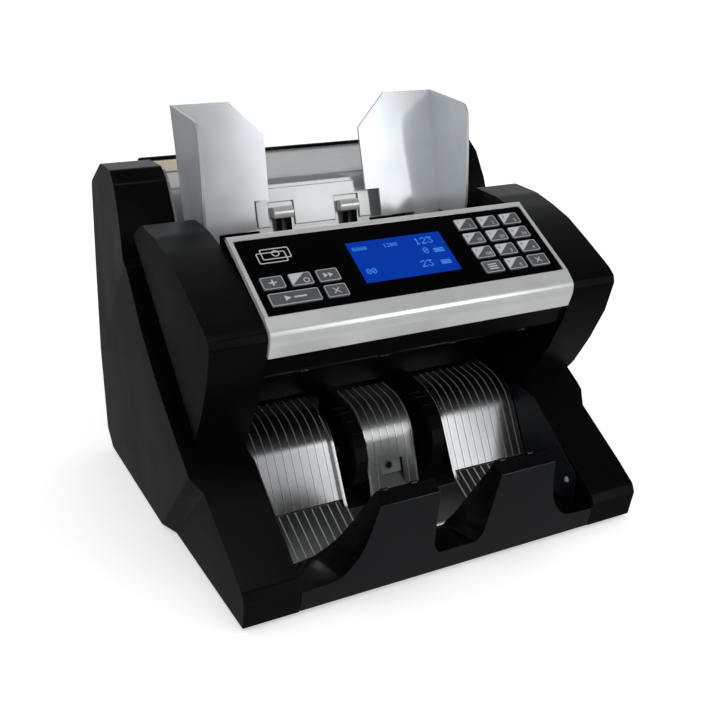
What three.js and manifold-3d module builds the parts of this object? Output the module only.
// Desktop banknote counting machine, in millimetres, +Z up, +Y towards the back, +X to the right.
// Every outline is drawn with Y = 0 at the foot of the front lip and Z = 0 at the bottom edge of
// the covers. The exported group moves that frame so that its origin is the bottom centre.
import * as THREE from 'three';
import * as BufferGeometryUtils from 'three/addons/utils/BufferGeometryUtils.js';
import Module from 'manifold-3d';

const wasm = await Module();
wasm.setup();

// ---- Driving dimensions ----------------------------------------------------------------------
const FRONT_Y = -16.35;         // the front stop leans forward to here
const REAR_Y = 286.5;           // back edge of the side covers
const FOOT_HEIGHT = 3;
const GAP = 0.4;                // clearance between neighbouring covers
const WALL = 3;                 // thickness of the plastic covers

const COVER_INNER = 109;        // inner face of a side cover
const COVER_BLANK = 153;        // side covers are cut back from this width
const CHEEK_OUTER = 144.5;      // outer face of a cheek
const HEAD_HALF = 108.4;        // half width of what lies between the cheeks

const PANEL_FOOT = [0, 41.6, 173.5];    // lower edge of the key panel, at its middle
const PANEL_TILT = THREE.MathUtils.degToRad(30.755);
const PANEL_HALF = 105;
const PANEL_LENGTH = 61.2;
const PANEL_THICK = 1.6;
const KEY_WIDTH = 14.6;
const KEY_HEIGHT = 10.1;
const KEY_GAP = 0.25;
const KEY_PROUD = 0.9;
const KEYPAD_PITCH = [18, 13.25];
const KEYPAD_FIRST = [55.2, 50.45];     // middle of the key for digit 1
const SCREEN = [-35.2, 13.4, 33.4, 48.4];

const STACK_HALF = 106.8;       // half width of the pocket that the counted notes land in
const STACK_BEND = [72, 24];    // where the pocket's floor meets its back
const STACK_AXIS = [97, 49];
const STACK_WHEEL_RADIUS = 28;
const STACK_WHEEL_X = [25, 35];
const SHEET = 1.6;

const PICKUP_AXIS = [178, 158];
const PICKUP_TYRES = [[-42, -26, 15], [-8, 8, 15], [26, 42, 15]];
const FEED_AXIS = [150, 137];
const PINCH_AXIS = [127, 152];
const MOTOR_AXIS = [215, 62];
const SHAFT_RADIUS = 3;
const BEARING_RADIUS = 3.4;

const GUIDE_OUTER = 102.7;
const GUIDE_LEAN = 0.2071;      // how far the guides' backs lean, as Y per Z
const GUIDE_TOP = [209.4, 272.5];
const GUIDE_FOOT = 184.5;
const GUIDE_THICK = 1.8;

const PINION_Z = 172;
const RACK_PITCH_RADIUS = 9;
const RACK_Y = [206.5, 210.5];
const TOOTH_COUNT = 12;
const TOOTH_HEIGHT = 2.4;

const REAR_PANEL_Y = [277, 280];
const INLET = [-62, 40];
const SWITCH = [-22, 40];

// ---- Materials -------------------------------------------------------------------------------
const plastic = (color, roughness, metalness = 0) =>
  new THREE.MeshStandardMaterial({ color, roughness, metalness, flatShading: true });
const blackPlastic = () => plastic(0x17181a, 0.42);
const glossBlack = () => plastic(0x08090a, 0.12);
const silverPaint = () => plastic(0xb9bbbd, 0.34, 0.5);
const mirrorSilver = () => plastic(0xc9cbcd, 0.2, 0.8);
const keyGrey = () => plastic(0x6c7076, 0.55);
const screenBlue = () => plastic(0x0d3fd0, 0.25);
const rubber = () => plastic(0x202123, 0.85);
const steel = () => plastic(0x8e9194, 0.35, 0.9);
const zincSheet = () => plastic(0xa5a8aa, 0.5, 0.8);
const boardGreen = () => plastic(0x1d5a34, 0.6);

// ---- Geometry helpers ------------------------------------------------------------------------
const toVector = ([a, b]) => new THREE.Vector2(a, b);

// Corners are [a, b] or [a, b, radius]; a radius turns the corner into an arc.
function outline(corners, steps = 6) {
  const count = corners.length;
  return corners.flatMap((corner, i) => {
    const here = toVector(corner);
    const radius = corner[2] ?? 0;
    if (radius === 0) return [here];
    const before = toVector(corners[(i + count - 1) % count]).sub(here).normalize();
    const after = toVector(corners[(i + 1) % count]).sub(here).normalize();
    const half = Math.acos(THREE.MathUtils.clamp(before.dot(after), -1, 1)) / 2;
    const sweep = Math.PI - 2 * half;
    const reach = radius / Math.tan(half);
    const centre = before.clone().add(after).normalize().multiplyScalar(radius / Math.sin(half));
    const start = before.clone().multiplyScalar(reach).sub(centre);
    const end = after.clone().multiplyScalar(reach).sub(centre);
    return Array.from({ length: steps + 1 }, (_, k) => {
      const t = k / steps;
      const arm = start.clone().multiplyScalar(Math.sin((1 - t) * sweep) / Math.sin(sweep));
      arm.add(end.clone().multiplyScalar(Math.sin(t * sweep) / Math.sin(sweep)));
      return arm.add(centre).add(here);
    });
  });
}

// The same for an open run: its ends stay where they are.
const bentRun = (corners, steps) => outline(corners, steps).map(({ x, y }) => [x, y]);

// Extrudes an outline by a depth, with holes that are outlines too.
function extrude(corners, depth, holes = []) {
  const shape = new THREE.Shape(outline(corners));
  shape.holes = holes.map((hole) => new THREE.Path(outline(hole)));
  return new THREE.ExtrudeGeometry(shape, { depth, bevelEnabled: false, curveSegments: 8 });
}

// An outline in Y and Z, swept from x0 to x1.
function slab(corners, x0, x1, holes = []) {
  const turn = new THREE.Matrix4().makeBasis(
    new THREE.Vector3(0, 1, 0), new THREE.Vector3(0, 0, 1), new THREE.Vector3(1, 0, 0));
  return extrude(corners, x1 - x0, holes).applyMatrix4(turn).translate(x0, 0, 0);
}

// An outline in X and Z, swept from y0 to y1.
function upright(corners, y0, y1, holes = []) {
  const turn = new THREE.Matrix4().makeBasis(
    new THREE.Vector3(1, 0, 0), new THREE.Vector3(0, 0, 1), new THREE.Vector3(0, -1, 0));
  return extrude(corners, y1 - y0, holes).applyMatrix4(turn).translate(0, y1, 0);
}

// An outline in X and Y, swept from z0 to z1.
function level(corners, z0, z1, holes = []) {
  return extrude(corners, z1 - z0, holes).translate(0, 0, z0);
}

function box([x0, x1], [y0, y1], [z0, z1]) {
  const geometry = new THREE.BoxGeometry(x1 - x0, y1 - y0, z1 - z0);
  return geometry.translate((x0 + x1) / 2, (y0 + y1) / 2, (z0 + z1) / 2);
}

const rectangle = ([a0, a1], [b0, b1], r = 0) =>
  [[a0, b0, r], [a1, b0, r], [a1, b1, r], [a0, b1, r]];

// A turned piece about an X axis through (y, z); the profile lists [x, radius] steps.
function turned(steps, [y, z], segments = 24) {
  const profile = [[steps[0][0], 0], ...steps, [steps.at(-1)[0], 0]]
    .map(([x, radius]) => new THREE.Vector2(radius, x));
  const geometry = new THREE.LatheGeometry(profile, segments);
  return geometry.rotateZ(-Math.PI / 2).translate(0, y, z);
}

// A round bar along X, from x0 to x1.
const roundBar = (x0, x1, radius, at, segments = 24) =>
  turned([[x0, radius], [x1, radius]], at, segments);

function solid(geometry) {
  const bare = geometry.clone();
  Object.keys(bare.attributes).filter((name) => name !== 'position')
    .forEach((name) => bare.deleteAttribute(name));
  const merged = BufferGeometryUtils.mergeVertices(bare, 1e-4);
  const count = merged.index.count / 3;
  const corners = merged.index.array;
  const kept = [];
  for (let t = 0; t < count; t += 1) {
    const [a, b, c] = corners.slice(3 * t, 3 * t + 3);
    if (a !== b && b !== c && c !== a) kept.push(a, b, c);
  }
  return new wasm.Manifold(new wasm.Mesh({
    numProp: 3,
    vertProperties: new Float32Array(merged.attributes.position.array),
    triVerts: new Uint32Array(kept),
  }));
}

function toGeometry(manifold) {
  const mesh = manifold.getMesh();
  const geometry = new THREE.BufferGeometry();
  geometry.setAttribute('position', new THREE.BufferAttribute(mesh.vertProperties, 3));
  geometry.setIndex(new THREE.BufferAttribute(mesh.triVerts, 1));
  return geometry;
}

const join = (...pieces) => toGeometry(pieces.map(solid).reduce((a, b) => a.add(b)));
const cut = (body, ...tools) =>
  toGeometry(tools.map(solid).reduce((a, b) => a.subtract(b), solid(body)));

// The same piece on the other side of the middle plane.
function mirrored(geometry) {
  const copy = geometry.index ? geometry.toNonIndexed() : geometry.clone();
  copy.scale(-1, 1, 1);
  const place = copy.attributes.position;
  for (let i = 0; i < place.count; i += 3) {
    const second = new THREE.Vector3().fromBufferAttribute(place, i + 1);
    const third = new THREE.Vector3().fromBufferAttribute(place, i + 2);
    place.setXYZ(i + 1, third.x, third.y, third.z);
    place.setXYZ(i + 2, second.x, second.y, second.z);
  }
  copy.deleteAttribute('normal');
  copy.deleteAttribute('uv');
  return copy;
}

const machine = new THREE.Group();
machine.position.set(0, -(FRONT_Y + REAR_Y) / 2, FOOT_HEIGHT);

function add(name, geometry, material, parent = machine) {
  const mesh = new THREE.Mesh(geometry, material);
  mesh.name = name;
  parent.add(mesh);
  return mesh;
}

function addPair(name, rightGeometry, material) {
  add(`right_${name}`, rightGeometry, material());
  add(`left_${name}`, mirrored(rightGeometry), material());
}

// ---- Side covers ---------------------------------------------------------------------------
// The edge that a cover shares with a cheek, from the arm up to the pillar.
const SHARED_EDGE = [[72, 73.3], [98, 90], [128, 112], [144, 126.5], [157, 139], [182, 172]];

// A thick plate whose underside is the plane X = a + b*Y + c*Z; it removes what lies outside.
function outsidePlane(a, b, c) {
  const normal = new THREE.Vector3(1, -b, -c).normalize();
  const turn = new THREE.Quaternion().setFromUnitVectors(new THREE.Vector3(0, 0, 1), normal);
  const tool = new THREE.BoxGeometry(900, 900, 60).translate(0, 0, 30);
  return tool.applyQuaternion(turn).translate(a, 0, 0);
}

// The diagonal step where a cover narrows towards the front; it runs down and back.
function frontStep(inset) {
  const reach = 250;
  const along = new THREE.Vector3(0, -74, 69.5).normalize();
  const outward = new THREE.Vector3(1, 0, 0);
  const forward = new THREE.Vector3().crossVectors(outward, along);
  const wide = 152.5 - inset;
  const narrow = 145.3 - inset;
  const tool = extrude([[-2.3, wide], [13, narrow], [200, narrow], [200, 170], [-2.3, 170]], 2 * reach);
  tool.translate(0, 0, -reach);
  return tool.applyMatrix4(new THREE.Matrix4().makeBasis(forward, outward, along))
    .translate(0, 67, 69.5);
}

// The whole cover as a block, or its hollow when an inset is given.
function coverBlock(inset) {
  const floor = inset ? -5 : 0;
  const round = (radius) => (inset ? 0 : radius);
  const side = [
    [inset, floor], [inset - 4, 19], [inset - 1.5, 24.5 - inset, round(5)],
    [13.8 + inset, 35 - inset], [56.7 + inset, 61.6 - inset], [67 + inset, 69.5 - inset],
    ...SHARED_EDGE.map(([y, z]) => [y + 0.75 * inset, z - 0.75 * inset]),
    [190 + inset, 175 - 0.3 * inset], [198 + inset, 202.5],
    [209 + inset, 223 - 0.3 * inset, round(6)], [219 + 0.5 * inset, 231 - inset, round(5)],
    [249, 231 - inset, 16], [REAR_Y - 1.5 - inset, 212 - 0.5 * inset, 8],
    [REAR_Y - inset, 150], [REAR_Y - inset, 12 - inset], [REAR_Y - 13 - 0.5 * inset, floor],
  ];
  return cut(slab(side, COVER_INNER + inset, COVER_BLANK),
    outsidePlane(152.52 - inset, -0.01487, -0.00475),
    outsidePlane(163.94 - inset, -0.0457, -0.0376), frontStep(inset));
}

addPair('side_cover', cut(coverBlock(0), coverBlock(WALL)), blackPlastic);

// ---- Cheeks: the black ends of the head ------------------------------------------------------
const CHEEK_FRONT = [
  [75, 83.5, 1], [54.6, 114.4], [41.4, 139], [38, 150], [34.7, 160.6, 3], [36, 165.6, 3],
  [41.9, 170.3], [64.7, 182.6, 60], [87.6, 194.2], [106, 200.2, 60], [126, 205.2, 40],
  [153, 207, 5], [173, 196.7, 8],
];

function cheekSide(inset) {
  const edge = SHARED_EDGE.slice(1).map(([y, z]) => [y - 0.5, z + 0.6]).reverse();
  if (!inset) return [...CHEEK_FRONT, [186.5, 184.5, 1], ...edge, [78, 77.9]];
  return [
    [60, 112], [44.4, 140], [38, 159], [40, 164], [66, 178], [107, 196], [127, 201.5],
    [152, 203], [171, 193], [200, 180], [200, 110], [100, 70], [80, 84],
  ];
}

// The side of a cheek turns in along the edge that it shares with the cover.
function cheekValley() {
  const from = new THREE.Vector3(0, 79, 77);
  const along = new THREE.Vector3(0, 186 - 79, 184 - 77).normalize();
  const outward = new THREE.Vector3(1, 0, 0);
  const upFront = new THREE.Vector3().crossVectors(outward, along);
  const tool = extrude([
    [-40, 125], [2, 136], [7, 140.5], [13, 143.4], [20, 145], [20, 150], [-40, 150],
  ], 400);
  tool.translate(0, 0, -150);
  return tool.applyMatrix4(new THREE.Matrix4().makeBasis(upFront, outward, along))
    .translate(from.x, from.y, from.z);
}

function cheek() {
  const shell = slab(cheekSide(0), COVER_INNER, CHEEK_OUTER);
  const hollow = slab(cheekSide(WALL), COVER_INNER + WALL, 133);
  return cut(shell, hollow, cheekValley());
}

addPair('cheek', cheek(), blackPlastic);

// ---- Head: silver bezel, key panel, screen and keys ------------------------------------------
const panel = new THREE.Group();
panel.position.set(...PANEL_FOOT);
panel.rotation.x = PANEL_TILT;
machine.add(panel);
panel.updateMatrix();

// A box given in the panel's own frame: across, up the slope, and out of the surface.
const panelBox = (across, up, out) => box(across, up, out).applyMatrix4(panel.matrix);

function bezel() {
  const section = [
    [37.3, 148.7, 0.6], [33.2, 159, 14], [33, 165.6, 5], [40.2, 172.7, 6], [98.6, 207.5, 1.2],
    [100.4, 204.5], [43.7, 170.5, 2], [36.8, 164.1, 3], [36.5, 159.8, 8], [40.1, 149.3],
  ];
  const recess = panelBox([-PANEL_HALF - GAP, PANEL_HALF + GAP], [-GAP, PANEL_LENGTH + GAP], [-1.9, 6]);
  const opening = panelBox([-102.6, 102.6], [3, 58], [-8, 2]);
  return cut(slab(section, -HEAD_HALF, HEAD_HALF), recess, opening);
}

add('silver_bezel', bezel(), silverPaint());

// Keys: name, middle across, middle up the slope, width.
const KEYS = [
  ['key_add', -93.7, 23.85, KEY_WIDTH], ['key_auto', -75.4, 23.9, KEY_WIDTH],
  ['key_speed', -57.4, 23.9, KEY_WIDTH], ['key_start', -84.4, 10.65, 32.6],
  ['key_clear', -57.2, 10.85, KEY_WIDTH],
];
['1', '2', '3', '4', '5', '6', '7', '8', '9', 'batch', '0', 'c'].forEach((label, i) => {
  const across = KEYPAD_FIRST[0] + KEYPAD_PITCH[0] * (i % 3);
  const up = KEYPAD_FIRST[1] - KEYPAD_PITCH[1] * Math.floor(i / 3);
  KEYS.push([`key_${label}`, across, up, KEY_WIDTH]);
});

const span = (middle, size) => [middle - size / 2, middle + size / 2];

function keyPanel() {
  const face = rectangle([-PANEL_HALF, PANEL_HALF], [0, PANEL_LENGTH], 2);
  const holes = KEYS.map(([, across, up, width]) =>
    rectangle(span(across, width + 2 * KEY_GAP), span(up, KEY_HEIGHT + 2 * KEY_GAP), 1.4));
  const [x0, v0, x1, v1] = SCREEN;
  holes.push(rectangle([x0 - GAP, x1 + GAP], [v0 - GAP, v1 + GAP]));
  return level(face, -PANEL_THICK, 0, holes);
}

// A key has a flange below the panel, so that it can't fall out.
function key(width) {
  const cap = level(rectangle(span(0, width), span(0, KEY_HEIGHT), 1.2), -4.2, KEY_PROUD);
  const flange = box(span(0, width + 1.2), span(0, KEY_HEIGHT + 1.2), [-4.2, -2.2]);
  return join(cap, flange);
}

function screen() {
  const [x0, v0, x1, v1] = SCREEN;
  const glass = box([x0, x1], [v0, v1], [-3, -0.3]);
  return join(glass, box([x0 - 5, x1 + 5], [v0 - 5, v1 + 6], [-4.8, -2]));
}

add('key_panel', keyPanel(), glossBlack(), panel);
add('screen', screen(), screenBlue(), panel);
KEYS.forEach(([name, across, up, width]) => {
  add(name, key(width), keyGrey(), panel).position.set(across, up, 0);
});
add('key_board', box([-99, 99], [4, 57], [-7, -5.4]), boardGreen(), panel);

add('head_top', slab([
  [101.4, 206.4, 0.8], [106.5, 203.4, 3], [119, 185, 12], [150.5, 172.5, 4], [152.4, 160],
  [149.8, 160], [148.2, 170.3, 2], [117.3, 182.8, 10], [104.8, 201.3], [101.8, 203.6],
], -HEAD_HALF, HEAD_HALF), blackPlastic());

add('head_underside', cut(slab([
  [40.6, 147.6], [47, 134, 6], [84, 119, 12], [128.6, 111.5, 5], [131.4, 80], [134, 80],
  [131.6, 113.8, 6], [84.5, 121.5, 10], [49, 136.2, 4], [43.2, 148],
], -HEAD_HALF, HEAD_HALF), box([-98, 98], [120, 150], [98, 104])), blackPlastic());

// ---- Front stop: two leaning humps with scoops between and beside them ------------------------
const HUMP_TOP = 73;
const HUMP_SIDE = [
  [61, HUMP_TOP], [63.8, 58], [66.8, 44], [70.8, 32], [75.5, 25], [81, 19], [87, 16.2],
  [96, 15.3], [108, 15.1],
];

// Cuts with an X and Z outline that shrinks and sinks as it goes back from the front face.
function scoop(corners, sink, spread) {
  const front = -30;
  const back = 60;
  const tool = upright(corners, front, back);
  const place = tool.attributes.position;
  for (let i = 0; i < place.count; i += 1) {
    const y = place.getY(i);
    place.setX(i, place.getX(i) - Math.sign(place.getX(i)) * spread * y);
    place.setZ(i, place.getZ(i) - sink * y);
  }
  return tool;
}

function frontStop() {
  const section = [
    [0, 0.4], [-16.4, 67.2, 0.8], [-9.6, HUMP_TOP - 0.2, 0.6], [-7.2, HUMP_TOP, 0.6],
    [39.4, 8, 3], [39.4, 0.4],
  ];
  const block = slab(section, -COVER_INNER + GAP, COVER_INNER - GAP);
  const curve = new THREE.SplineCurve(HUMP_SIDE.map(toVector)).getPoints(24).map(({ x, y }) => [x, y]);
  const rightScoop = scoop([[61, 90], ...curve, [130, 15], [130, 90]], 0.2, 0.04);
  const middle = scoop([[-21, 90], [-23.5, 66], [-19, 22, 12], [-14.5, 15, 4], [14.5, 15, 4],
    [19, 22, 12], [23.5, 66], [21, 90]], 0.24, -0.06);
  const beside = box([107.2, 120], [14, 60], [-1, 90]);
  const hollow = slab([[8, -1], [-6, 58], [27, 11], [30, -1]], 27, 54);
  return cut(block, rightScoop, mirrored(rightScoop), middle, beside, mirrored(beside),
    hollow, mirrored(hollow));
}

add('front_stop', frontStop(), blackPlastic());

// ---- Pocket for the counted notes --------------------------------------------------------------
// Offsets an open run of points to its right and closes it, which makes a bent sheet's section.
function sheetSection(run, thick) {
  const points = run.map(([a, b]) => new THREE.Vector2(a, b));
  const far = points.map((point, i) => {
    const before = points[Math.max(i - 1, 0)];
    const after = points[Math.min(i + 1, points.length - 1)];
    const along = after.clone().sub(before).normalize();
    return [point.x + along.y * thick, point.y - along.x * thick];
  });
  return [...run, ...far.reverse()];
}

const [BEND_Y, BEND_Z] = STACK_BEND;
const FLOOR_RUN = [[40.2, 7], [BEND_Y - GAP, BEND_Z - 0.2]];
const BACK_RUN = bentRun([[BEND_Y + 0.3, BEND_Z + 0.4], [97.3, 73.9, 35], [130, 77.6]], 12);
const CENTRE_RUN = bentRun([[73.6, 8.2], [79.2, 28.5], [93.2, 73.4, 31], [130, 76.8]], 12);
const RIDGE_RISE = 3.5;

// Where a plate's side wall ends, behind the plate and above the stacker shaft.
const SIDE_WALL = [[118, 75], [112, 56], [92, 52.5]];

function stackFloor() {
  const plate = slab(sheetSection(FLOOR_RUN, SHEET), -STACK_HALF, STACK_HALF);
  return cut(plate, level([[-46.5, 90], [-46.5, 64.5, 4], [46.5, 64.5, 4], [46.5, 90]], -10, 60));
}

// The ridge along a note plate's inner edge stands proud at its foot and dies away at the bend.
function ridgeSection() {
  const run = BACK_RUN.filter(([y]) => y < 108);
  const crest = run.map(([y, z], i) => {
    const [toY, toZ] = BACK_RUN[i + 1];
    const length = Math.hypot(toY - y, toZ - z);
    const rise = RIDGE_RISE * (1 - (i / (run.length - 1)) ** 2) - 0.3;
    return [y - (rise * (toZ - z)) / length, z + (rise * (toY - y)) / length];
  });
  return [[66.2, 21.6], ...crest, ...sheetSection(run, 0.8).slice(run.length), [68.6, 22.6]];
}

function notePlate() {
  const back = slab(sheetSection(BACK_RUN, SHEET), 43.4, STACK_HALF);
  const ridge = slab(ridgeSection(), 42.6, 44.8);
  const side = slab([...BACK_RUN.filter(([y]) => y > 87 && y < 118), ...SIDE_WALL], 43.4, 44.8);
  return join(back, ridge, side);
}

// A box in the frame of the centre plate's straight part, 37 mm up.
function centreBox(across, out, up) {
  return box(across, out, up).rotateX(-0.302).translate(0, 81.8, 37);
}

// The centre plate has a window for the sensor, with a ramp up to it, and two side walls.
function centrePlate() {
  const plate = slab(sheetSection(CENTRE_RUN, SHEET), -19.4, 19.4);
  const ramp = slab([[0.5, -16.9], [5.2, -8], [7.6, -8], [2, -18]], -8.9, 8.9);
  ramp.rotateX(-0.302).translate(0, 81.8, 37);
  const side = slab([...CENTRE_RUN.filter(([y]) => y > 86 && y < 118), ...SIDE_WALL], 18, 19.4);
  return join(cut(plate, centreBox([-8.8, 8.8], [-6, 6], [-16.5, 3])), ramp, side, mirrored(side));
}

function stackSensor() {
  const lens = new THREE.CylinderGeometry(2.6, 2.9, 3, 20).translate(-1.5, 4, -1.2);
  lens.rotateX(-0.302).translate(0, 81.8, 37);
  return join(centreBox([-8.4, 8.4], [4, 10], [-7.6, 2.6]), lens);
}

add('stack_floor', stackFloor(), mirrorSilver());
addPair('note_plate', notePlate(), mirrorSilver);
add('centre_note_plate', centrePlate(), mirrorSilver());
add('stack_sensor', stackSensor(), glossBlack());

// Smooth liners on the pocket's side walls.
const linerSide = [[15.5, 3], [15.5, 33, 2], [67, 71.5, 6], [88, 74.5, 6], [100, 66], [100, 3]];
addPair('pocket_liner', slab(linerSide, 107.6, 108.6), glossBlack);

// A stacker wheel: a hub with long nested fins that curl back until they nearly meet the rim.
function stackWheel() {
  const [x0, x1] = STACK_WHEEL_X;
  const fins = 18;
  const steps = 8;
  const root = 7;
  const hub = roundBar(x0, x1, root + 1.5, [0, 0], 24);
  const fin = Array.from({ length: steps + 1 }, (_, k) => {
    const radius = root + (STACK_WHEEL_RADIUS - root) * Math.sin((k / steps) * (Math.PI / 2.3));
    const angle = 1.7 * (k / steps) ** 1.5;
    return [radius * Math.cos(angle), radius * Math.sin(angle)];
  });
  const blade = slab(sheetSection(fin, 0.9), x0 + 0.5, x1 - 0.5);
  const blades = Array.from({ length: fins }, (_, i) =>
    blade.clone().rotateX((i * 2 * Math.PI) / fins));
  const bore = roundBar(x0 - 1, x1 + 1, SHAFT_RADIUS + 0.3, [0, 0]);
  return cut(join(hub, ...blades), bore).translate(0, ...STACK_AXIS);
}

addPair('stacker_wheel', stackWheel(), rubber);
add('stacker_shaft', roundBar(-107, 107, SHAFT_RADIUS, STACK_AXIS), steel());

// ---- Chassis and drive -------------------------------------------------------------------------
function chassis() {
  const side = [
    [79, 6], [79, 30], [90, 50], [99, 63], [112, 70], [130, 72.5], [137, 76], [138, 112],
    [133, 120], [117, 140], [117, 163], [137, 163], [143, 157], [164, 157], [168, 165], [189, 165],
    [196, 150], [272, 146, 8], [272, 6],
  ];
  const bearings = [STACK_AXIS, PICKUP_AXIS, FEED_AXIS, PINCH_AXIS]
    .map((at) => roundBar(-110, 110, BEARING_RADIUS, at));
  const wall = slab(side, 104.6, 106.1);
  const base = box([-106.1, 106.1], [66, 272], [6, 7.5]);
  return cut(join(base, wall, mirrored(wall)), ...bearings);
}

// A shaft with tyres; each tyre is [x0, x1, radius].
function rollerShaft(tyres, at) {
  const steps = [[-107, SHAFT_RADIUS]];
  tyres.forEach(([x0, x1, radius]) => {
    steps.push([x0, SHAFT_RADIUS], [x0, radius], [x1, radius], [x1, SHAFT_RADIUS]);
  });
  steps.push([107, SHAFT_RADIUS]);
  return turned(steps, at, 28);
}

const BELT_X = [-103, -98.5];
const FEED_PULLEY_RADIUS = 12;
const MOTOR_PULLEY_RADIUS = 8;

add('chassis', chassis(), zincSheet());
add('pickup_roller', rollerShaft(PICKUP_TYRES, PICKUP_AXIS), rubber());
add('feed_roller', rollerShaft([[BELT_X[0], BELT_X[1], FEED_PULLEY_RADIUS], [-46, -22, 18],
  [22, 46, 18]], FEED_AXIS), rubber());
add('pinch_roller', rollerShaft([[-44, -24, 9], [24, 44, 9]], PINCH_AXIS), rubber());

// The belt is the hull of two circles, less the same hull a belt's thickness smaller.
function beltLoop(grow) {
  const [y0, z0] = MOTOR_AXIS;
  const [y1, z1] = FEED_AXIS;
  const small = MOTOR_PULLEY_RADIUS + grow;
  const large = FEED_PULLEY_RADIUS + grow;
  const lie = Math.atan2(z1 - z0, y1 - y0);
  const reach = Math.hypot(z1 - z0, y1 - y0);
  const turn = Math.acos((small - large) / reach);
  const arc = (y, z, radius, from, to) => Array.from({ length: 13 }, (_, k) => {
    const angle = from + ((to - from) * k) / 12;
    return [y + radius * Math.cos(angle), z + radius * Math.sin(angle)];
  });
  return [
    ...arc(y1, z1, large, lie - turn, lie + turn),
    ...arc(y0, z0, small, lie + turn, lie + 2 * Math.PI - turn),
  ];
}

add('drive_belt', slab(beltLoop(2.2), BELT_X[0] + 0.6, BELT_X[1] - 0.6, [beltLoop(0.5)]), rubber());
add('motor_pulley', cut(roundBar(...BELT_X, MOTOR_PULLEY_RADIUS, MOTOR_AXIS),
  roundBar(-110, -90, 2.3, MOTOR_AXIS)), steel());
add('drive_motor', join(roundBar(-94, -30, 24, MOTOR_AXIS, 32), roundBar(-102.5, -93, 2, MOTOR_AXIS),
  box([-90, -34], [MOTOR_AXIS[0] - 14, MOTOR_AXIS[0] + 14], [8, 45])), steel());

add('power_supply', join(box([4, 96], [176, 262], [11, 14]), box([10, 42], [184, 222], [13, 44]),
  box([52, 84], [190, 214], [13, 34]), box([56, 74], [230, 252], [13, 40])), boardGreen());

// ---- Hopper ------------------------------------------------------------------------------------
const HOPPER_RUN = [[157, 167.6], [188, 168.2], [194, 169.6], [198.2, 174], [200.5, 181],
  [209, 211.8], [211.5, 215.2], [216, 217.3], [276.4, 224.6]];

function hopperPlate() {
  const back = slab(sheetSection(HOPPER_RUN, 2), -108.4, 108.4);
  const wing = slab([
    [197, 173], [190.5, 175], [199.6, 202.2], [210.4, 222.3, 5], [219.5, 228.8, 4], [247, 228.8, 12],
    [276.4, 224.6], [276.4, 222.4], [216, 215.1], [209, 207],
  ], 106.6, 108.4);
  const slot = upright(rectangle([45, 104.6], [175, 181.5]), 190, 214);
  const boss = new THREE.CylinderGeometry(2.6, 2.6, 14.5, 24).translate(0, 204.5, PINION_Z);
  const tyreGaps = PICKUP_TYRES.map(([x0, x1]) =>
    box([x0 - 1.5, x1 + 1.5], [161, 195.5], [140, 180]));
  return cut(join(back, wing, mirrored(wing), boss), slot, mirrored(slot), ...tyreGaps);
}

// Rack and pinion teeth are straight-sided, with room left between them.
const TOOTH_PITCH = (2 * Math.PI * RACK_PITCH_RADIUS) / TOOTH_COUNT;

function pinion() {
  const root = RACK_PITCH_RADIUS - TOOTH_HEIGHT / 2 - 0.3;
  const tip = RACK_PITCH_RADIUS + TOOTH_HEIGHT / 2 - 0.2;
  const points = [];
  for (let i = 0; i < TOOTH_COUNT; i += 1) {
    const middle = (i * 2 * Math.PI) / TOOTH_COUNT;
    [[-0.15, root], [-0.055, tip], [0.055, tip], [0.15, root]].forEach(([offset, radius]) => {
      const angle = middle + 1.15 * offset;
      points.push([radius * Math.sin(angle), radius * Math.cos(angle)]);
    });
  }
  const wheel = extrude(points.reverse(), RACK_Y[1] - RACK_Y[0]).rotateX(Math.PI / 2);
  const bore = new THREE.CylinderGeometry(3, 3, 40, 24);
  return cut(wheel.translate(0, RACK_Y[1] - RACK_Y[0], 0), bore).translate(0, RACK_Y[0], PINION_Z);
}

// A rack above the pinion with its teeth down: the teeth's gaps line up with the pinion's teeth.
function rackTeeth(x0, x1) {
  const points = [];
  const pitchLine = RACK_PITCH_RADIUS;
  const back = pitchLine + 5;
  const start = Math.ceil(x0 / TOOTH_PITCH - 0.5);
  for (let i = start; (i + 0.5) * TOOTH_PITCH + 1.4 < x1; i += 1) {
    const middle = (i + 0.5) * TOOTH_PITCH;
    points.push([middle - 1.15, pitchLine + 1.4], [middle - 0.45, pitchLine - 1]);
    points.push([middle + 0.45, pitchLine - 1], [middle + 1.15, pitchLine + 1.4]);
  }
  return [...points, [x1, pitchLine + 1.4], [x1, back], [x0, back], [x0, pitchLine + 1.4]];
}

// The guide's back stands in a leaning plane; its flange runs forward beside the notes.
function guide() {
  const leanY = (z) => GUIDE_TOP[0] - (GUIDE_TOP[1] - z) * GUIDE_LEAN;
  const back = upright([
    [GUIDE_OUTER, GUIDE_TOP[1]], [61.1, GUIDE_TOP[1]], [37.5, 249], [39, 204.7], [50.4, 204.7],
    [50.8, GUIDE_FOOT], [79, GUIDE_FOOT], [80, 175], [100, 175], [101, GUIDE_FOOT],
    [GUIDE_OUTER, GUIDE_FOOT],
  ].reverse(), 0, GUIDE_THICK);
  const lean = back.attributes.position;
  for (let i = 0; i < lean.count; i += 1) lean.setY(i, lean.getY(i) + leanY(lean.getZ(i)));
  const flange = slab([
    [209.4, 272.5], [157.2, 267.4, 9.5], [154.8, 240], [153.6, 200], [156, GUIDE_FOOT, 4],
    [leanY(GUIDE_FOOT) + GUIDE_THICK, GUIDE_FOOT],
    [209.4 + GUIDE_THICK, 272.5],
  ], GUIDE_OUTER - GUIDE_THICK, GUIDE_OUTER);
  const tongue = box([82, 98], [189.6, RACK_Y[1]], [176, 180.6]);
  return join(back, flange, tongue);
}

function leftGuide() {
  const rack = upright(rackTeeth(-100, 12), ...RACK_Y).translate(0, 0, PINION_Z);
  return join(mirrored(guide()), rack, box([-98, -82], RACK_Y, [178, 186]));
}

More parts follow.
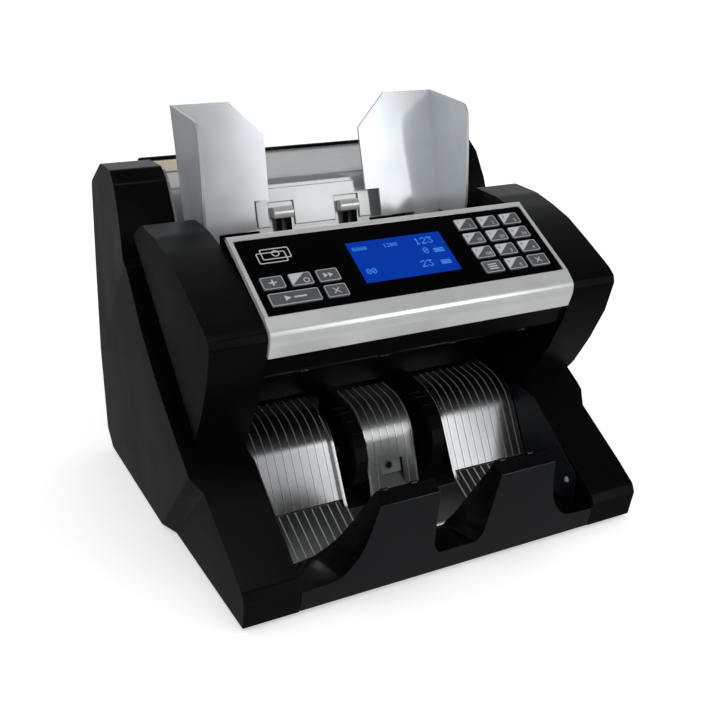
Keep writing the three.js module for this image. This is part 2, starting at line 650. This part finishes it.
function rightGuide() {
  const rack = upright(rackTeeth(-100, 12), ...RACK_Y).rotateY(Math.PI).translate(0, 0, PINION_Z);
  const web = box([82, 98], RACK_Y, [158.5, 180.6]);
  return join(guide(), rack, web);
}

add('hopper_plate', hopperPlate(), silverPaint());
add('left_guide', leftGuide(), silverPaint());
add('right_guide', rightGuide(), silverPaint());
add('guide_pinion', pinion(), keyGrey());

// A paper finger: a rounded cap on two thin legs.
function finger() {
  const cap = slab([[197.2, 190], [196.4, 193.6, 1.6], [199.4, 197.2, 1.6], [202.8, 196, 1.2],
    [202.4, 190]], 19.2, 34.4);
  const leg = slab([[195.8, 175.5], [198.1, 191], [200.6, 191], [197.6, 175.5]], 20.8, 25.2);
  const bridge = box([20.8, 32.8], [195.8, 197.5], [175.5, 178]);
  return join(cap, leg, leg.clone().translate(7.6, 0, 0), bridge);
}

addPair('paper_finger', finger(), blackPlastic);

// ---- Rear --------------------------------------------------------------------------------------
function rearPanel() {
  const [x, z] = INLET;
  const plate = upright(rectangle([-108.6, 108.6], [2, 227], 2), ...REAR_PANEL_Y);
  const holes = [
    box(span(x, 28), [200, 300], span(z, 21)),
    box(span(SWITCH[0], 14.4), [200, 300], span(SWITCH[1], 20.4)),
    box(span(0, 8), [200, 300], span(196, 8)),
  ];
  for (let i = 0; i < 9; i += 1) holes.push(box(span(24 + 8 * i, 3.4), [200, 300], [30, 62]));
  return cut(plate, ...holes);
}

// The socket is a cup with three pins in it.
function powerInlet() {
  const [x, z] = INLET;
  const [, face] = REAR_PANEL_Y;
  const body = box(span(x, 27), [face - 17, face + 1], span(z, 20));
  const flange = box(span(x, 38), [face + GAP, face + 2.4], span(z, 26));
  const well = box(span(x, 22), [face - 14, face + 9], span(z, 16));
  const pins = [[-7, -2], [0, 2], [7, -2]].map(([dx, dz]) =>
    box(span(x + dx, 2), [face - 15, face - 2], span(z + dz, 4)));
  return join(cut(join(body, flange), well), ...pins);
}

// A rocker that sits seven degrees over in its off position.
function rocker() {
  const cap = slab([[-8, -9], [3, -9.4], [1.6, 0], [3, 9.4], [-8, 9], [-10, 0]], -6.8, 6.8);
  const [x, z] = SWITCH;
  return cap.rotateX(-THREE.MathUtils.degToRad(7)).translate(x, REAR_PANEL_Y[1], z);
}

function thicknessKnob() {
  const [, face] = REAR_PANEL_Y;
  const grip = new THREE.CylinderGeometry(10, 10.6, 5, 24).translate(0, 3, 0);
  const stem = new THREE.CylinderGeometry(3.2, 3.2, 12, 16).translate(0, -3, 0);
  const slot = new THREE.BoxGeometry(24, 2.4, 2.4).translate(0, 5.6, 0);
  return cut(join(grip, stem), slot).translate(0, face, 196);
}

add('rear_panel', rearPanel(), blackPlastic());
add('power_inlet', powerInlet(), glossBlack());
add('power_switch', rocker(), glossBlack());
add('thickness_knob', thicknessKnob(), blackPlastic());

// ---- Feet --------------------------------------------------------------------------------------
function foot(x, y, top) {
  return new THREE.CylinderGeometry(9, 8, top + FOOT_HEIGHT, 28).rotateX(Math.PI / 2)
    .translate(x, y, (top - FOOT_HEIGHT) / 2);
}

addPair('front_foot', foot(88, 20, 0), rubber);
addPair('rear_foot', foot(88, 252, 5.6), rubber);

export default machine;
